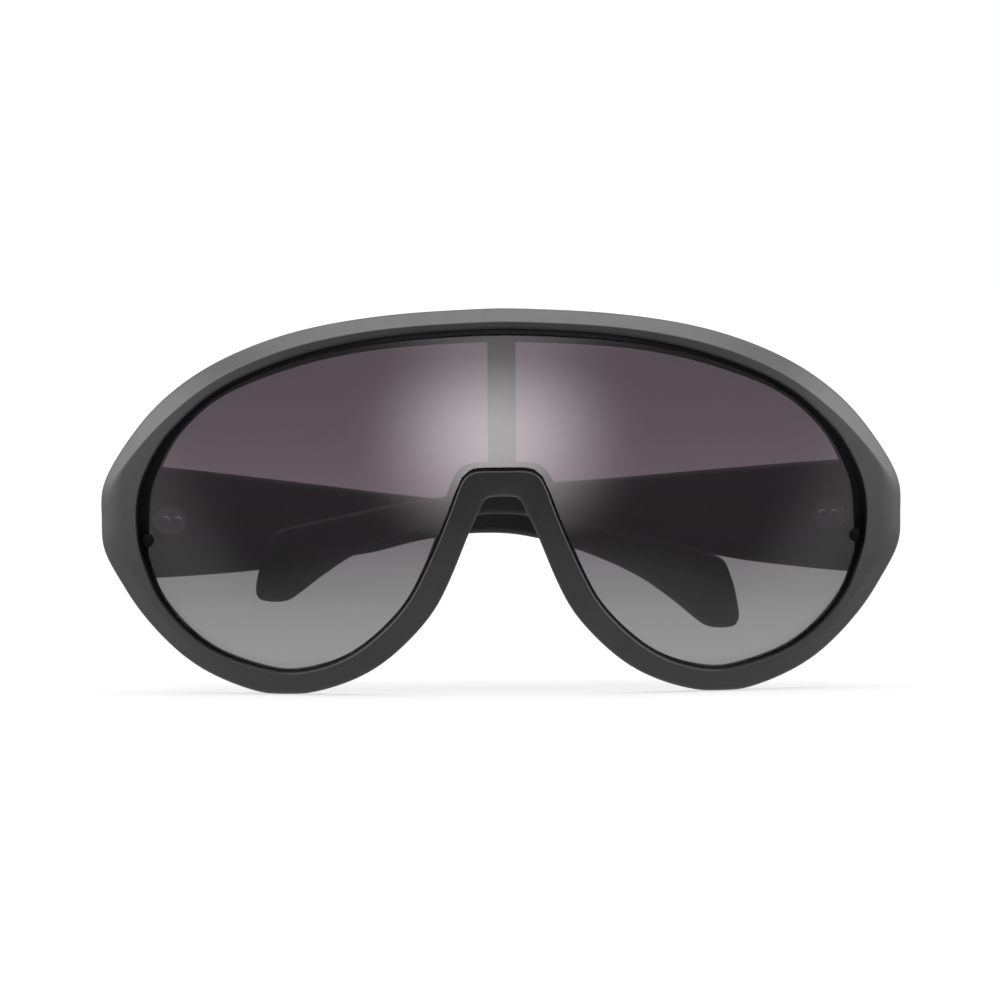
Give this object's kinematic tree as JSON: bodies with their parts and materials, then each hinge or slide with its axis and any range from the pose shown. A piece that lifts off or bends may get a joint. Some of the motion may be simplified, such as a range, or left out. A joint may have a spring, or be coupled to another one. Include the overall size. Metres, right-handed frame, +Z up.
{
  "type": "sunglasses",
  "caption": "Mask sunglasses with a chunky moulded front round a single gradient-tinted shield lens and folding temples on screwed hinges.",
  "frame": {"origin": "centre of the folded glasses' bounding box in plan, at the level of the flats under the two rims", "axes": "+X towards the right of the picture, along the front; the lens looks along -Y; +Z up, as worn"},
  "size_m": [0.1504, 0.0465, 0.0718],
  "materials": {
    "frame_nylon": "satin-matte moulded black",
    "temple_nylon": "satin-matte moulded black",
    "lens_tint": "clear polished plastic, tinted dark violet-brown at the top and fading to grey",
    "pin_nylon": "matte black",
    "hinge_steel": "satin",
    "screw_steel": "bright"
  },
  "bodies": {
    "front": {"front_frame": "frame_nylon", "shield_lens": "lens_tint", "lens_pin_left": "pin_nylon", "front_leaf_left": "hinge_steel", "front_leaf_screw_upper_left": "screw_steel", "front_leaf_screw_lower_left": "screw_steel", "hinge_screw_left": "screw_steel", "lens_pin_right": "pin_nylon", "front_leaf_right": "hinge_steel", "front_leaf_screw_upper_right": "screw_steel", "front_leaf_screw_lower_right": "screw_steel", "hinge_screw_right": "screw_steel"},
    "left_temple": {"temple_left": "temple_nylon", "temple_leaf_left": "hinge_steel", "temple_leaf_screw_near_left": "screw_steel", "temple_leaf_screw_far_left": "screw_steel"},
    "right_temple": {"temple_right": "temple_nylon", "temple_leaf_right": "hinge_steel", "temple_leaf_screw_near_right": "screw_steel", "temple_leaf_screw_far_right": "screw_steel"}
  },
  "joints": [
    {"name": "left_temple_fold", "type": "hinge", "parent": "front", "child": "left_temple", "pos_m": [-0.0674, 0.01289, 0.0322], "axis": [0.0541, 0, 0.9985], "range_deg": [0, 86.5]},
    {"name": "right_temple_fold", "type": "hinge", "parent": "front", "child": "right_temple", "pos_m": [0.0674, 0.01289, 0.0322], "axis": [0, 0, -1], "range_deg": [0, 91]}
  ]
}
